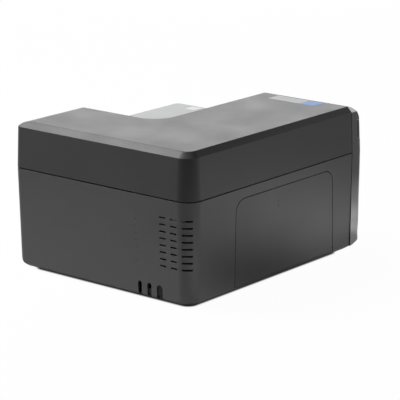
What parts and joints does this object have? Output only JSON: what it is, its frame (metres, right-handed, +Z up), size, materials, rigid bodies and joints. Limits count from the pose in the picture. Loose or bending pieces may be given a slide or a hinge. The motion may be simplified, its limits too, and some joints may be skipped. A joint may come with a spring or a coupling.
{
  "type": "id card printer",
  "caption": "Desktop inkjet printer for plastic cards with an L-shaped lift-up cover, side service door, card hopper and slide-out output tray.",
  "frame": {"origin": "centre of the bounding box at desk level, under the feet", "axes": "+X from the side door to the closed end, +Y from the glossy front panel to the rear wall with the cable notches, +Z up"},
  "size_m": [0.326, 0.396, 0.2157],
  "materials": {
    "casing": "fine moulded texture, satin",
    "door_skin": "fine moulded texture, satin",
    "gloss_black": "high gloss",
    "smoke_window": "high gloss, smoked",
    "inner_black": "satin",
    "rubber": "matt",
    "hopper_dark": "fine moulded texture",
    "light_grey": "satin",
    "milky_window": "milky, glossy",
    "blue_plastic": "satin",
    "accent_blue": "glossy",
    "button_grey": "satin",
    "sheet_metal": "zinc plated",
    "steel_rod": "ground and polished",
    "motor_metal": "satin",
    "belt": "matt",
    "pulley_alu": "turned",
    "gear_white": "satin",
    "brass": "turned",
    "roller_rubber": "matt",
    "roller_silver": "satin",
    "pcb": "solder mask",
    "psu_metal": "perforated sheet",
    "tank": "translucent",
    "port_metal": "plated"
  },
  "bodies": {
    "printer_base": {"base_shell": "casing", "base_pan": "inner_black", "rubber_feet": "rubber", "front_panel": "gloss_black", "status_window": "smoke_window", "panel_board": "pcb", "output_chute": "inner_black", "hopper_body": "hopper_dark", "chassis_deck": "sheet_metal", "deck_posts": "sheet_metal", "shuttle_brackets": "sheet_metal", "shuttle_rods": "steel_rod", "shuttle_motor": "motor_metal", "shuttle_belt": "belt", "carriage_frame": "sheet_metal", "carriage_rod": "steel_rod", "carriage_rail": "sheet_metal", "carriage_motor": "motor_metal", "carriage_belt": "belt", "service_station": "inner_black", "pick_frame": "sheet_metal", "pick_motor": "motor_metal", "cartridge_guides": "inner_black", "cleaning_cartridge": "blue_plastic", "main_board": "pcb", "power_supply": "psu_metal", "waste_tank": "tank", "power_inlet": "inner_black", "usb_port": "port_metal", "network_port": "port_metal", "encoder_strip": "smoke_window", "fan_frame": "inner_black", "hinge_brackets": "inner_black", "door_lugs": "inner_black"},
    "top_cover_body": {"top_cover": "casing", "name_plate": "light_grey", "accent_tile": "accent_blue", "cover_hinge_pins": "steel_rod"},
    "side_door_body": {"side_door": "door_skin", "door_hinge_pins": "steel_rod"},
    "hopper_lid_body": {"hopper_lid": "light_grey", "hopper_window": "milky_window", "lid_hinge_pins": "steel_rod"},
    "card_weight_body": {"card_weight": "blue_plastic"},
    "output_tray_body": {"output_tray": "hopper_dark"},
    "power_button_body": {"power_button": "button_grey"},
    "feed_button_body": {"feed_button": "button_grey"},
    "cleaning_roller_body": {"cleaning_roller": "roller_silver"},
    "card_shuttle_body": {"card_shuttle": "inner_black"},
    "shuttle_drive_pulley_body": {"shuttle_drive_pulley": "pulley_alu"},
    "shuttle_idler_pulley_body": {"shuttle_idler_pulley": "pulley_alu"},
    "print_carriage_body": {"print_carriage": "inner_black", "ink_cartridge": "gloss_black"},
    "cartridge_latch_body": {"cartridge_latch": "blue_plastic"},
    "carriage_drive_pulley_body": {"carriage_drive_pulley": "pulley_alu"},
    "carriage_idler_pulley_body": {"carriage_idler_pulley": "pulley_alu"},
    "pick_roller_body": {"pick_roller": "roller_rubber"},
    "idler_gear_body": {"idler_gear": "gear_white"},
    "motor_pinion_body": {"motor_pinion": "brass"},
    "fan_rotor_body": {"fan_rotor": "inner_black"}
  },
  "joints": [
    {"name": "cover_hinge", "type": "hinge", "parent": "printer_base", "child": "top_cover_body", "pos_m": [0, 0.1944, 0.1526], "axis": [-1, 0, 0], "range_deg": [0, 75]},
    {"name": "side_door_hinge", "type": "hinge", "parent": "printer_base", "child": "side_door_body", "pos_m": [-0.1565, 0, 0.0118], "axis": [0, -1, 0], "range_deg": [0, 85]},
    {"name": "hopper_lid_hinge", "type": "hinge", "parent": "printer_base", "child": "hopper_lid_body", "pos_m": [0.0985, 0.053, 0.1793], "axis": [-1, 0, 0], "range_deg": [0, 80]},
    {"name": "card_weight_slide", "type": "slide", "parent": "printer_base", "child": "card_weight_body", "axis": [0, 0, 1], "range_m": [0, 0.0368]},
    {"name": "output_tray_slide", "type": "slide", "parent": "printer_base", "child": "output_tray_body", "axis": [0, -1, 0], "range_m": [0, 0.075]},
    {"name": "power_button_press", "type": "slide", "parent": "printer_base", "child": "power_button_body", "axis": [0, 1, 0], "range_m": [0, 0.0015], "stiffness_N_per_m": 300, "springref_m": -0.001},
    {"name": "feed_button_press", "type": "slide", "parent": "printer_base", "child": "feed_button_body", "axis": [0, 1, 0], "range_m": [0, 0.0015], "stiffness_N_per_m": 300, "springref_m": -0.001},
    {"name": "cleaning_roller_spin", "type": "hinge", "parent": "printer_base", "child": "cleaning_roller_body", "pos_m": [0.1, 0.079, 0.124], "axis": [1, 0, 0], "continuous": true},
    {"name": "card_shuttle_slide", "type": "slide", "parent": "printer_base", "child": "card_shuttle_body", "axis": [-1, 0, 0], "range_m": [0, 0.19]},
    {"name": "shuttle_drive_spin", "type": "hinge", "parent": "printer_base", "child": "shuttle_drive_pulley_body", "pos_m": [-0.131, 0.128, 0.0992], "axis": [0, 0, 1], "range_deg": [-1, 1238.1]},
    {"name": "shuttle_idler_spin", "type": "hinge", "parent": "printer_base", "child": "shuttle_idler_pulley_body", "pos_m": [0.131, 0.128, 0.0992], "axis": [0, 0, 1], "range_deg": [-1, 1238.1]},
    {"name": "print_carriage_slide", "type": "slide", "parent": "printer_base", "child": "print_carriage_body", "axis": [0, 1, 0], "range_m": [0, 0.255]},
    {"name": "cartridge_latch_hinge", "type": "hinge", "parent": "print_carriage_body", "child": "cartridge_latch_body", "pos_m": [-0.09, -0.084, 0.163], "axis": [-1, 0, 0], "range_deg": [0, 45]},
    {"name": "carriage_drive_spin", "type": "hinge", "parent": "printer_base", "child": "carriage_drive_pulley_body", "pos_m": [-0.03, -0.145, 0.15], "axis": [-1, 0, 0], "range_deg": [-1, 1874.1]},
    {"name": "carriage_idler_spin", "type": "hinge", "parent": "printer_base", "child": "carriage_idler_pulley_body", "pos_m": [-0.03, 0.1668, 0.15], "axis": [-1, 0, 0], "range_deg": [-1, 1874.1]},
    {"name": "pick_roller_spin", "type": "hinge", "parent": "printer_base", "child": "pick_roller_body", "pos_m": [0.1, -0.03, 0.1083], "axis": [1, 0, 0], "continuous": true},
    {"name": "idler_gear_spin", "type": "hinge", "parent": "printer_base", "child": "idler_gear_body", "pos_m": [0.1, -0.0575, 0.1083], "axis": [1, 0, 0], "continuous": true},
    {"name": "motor_pinion_spin", "type": "hinge", "parent": "printer_base", "child": "motor_pinion_body", "pos_m": [0.1, -0.075, 0.1083], "axis": [1, 0, 0], "continuous": true},
    {"name": "fan_spin", "type": "hinge", "parent": "printer_base", "child": "fan_rotor_body", "pos_m": [-0.11, 0.184, 0.082], "axis": [0, 1, 0], "continuous": true}
  ],
  "couplings": [
    {"joint": "shuttle_drive_spin", "follows": "card_shuttle_slide", "rad_per_m": 113.64},
    {"joint": "shuttle_idler_spin", "follows": "card_shuttle_slide", "rad_per_m": 113.64},
    {"joint": "carriage_drive_spin", "follows": "print_carriage_slide", "rad_per_m": 128.21},
    {"joint": "carriage_idler_spin", "follows": "print_carriage_slide", "rad_per_m": 128.21},
    {"joint": "idler_gear_spin", "follows": "pick_roller_spin", "ratio": -1.3913},
    {"joint": "motor_pinion_spin", "follows": "pick_roller_spin", "ratio": 2.6667}
  ]
}
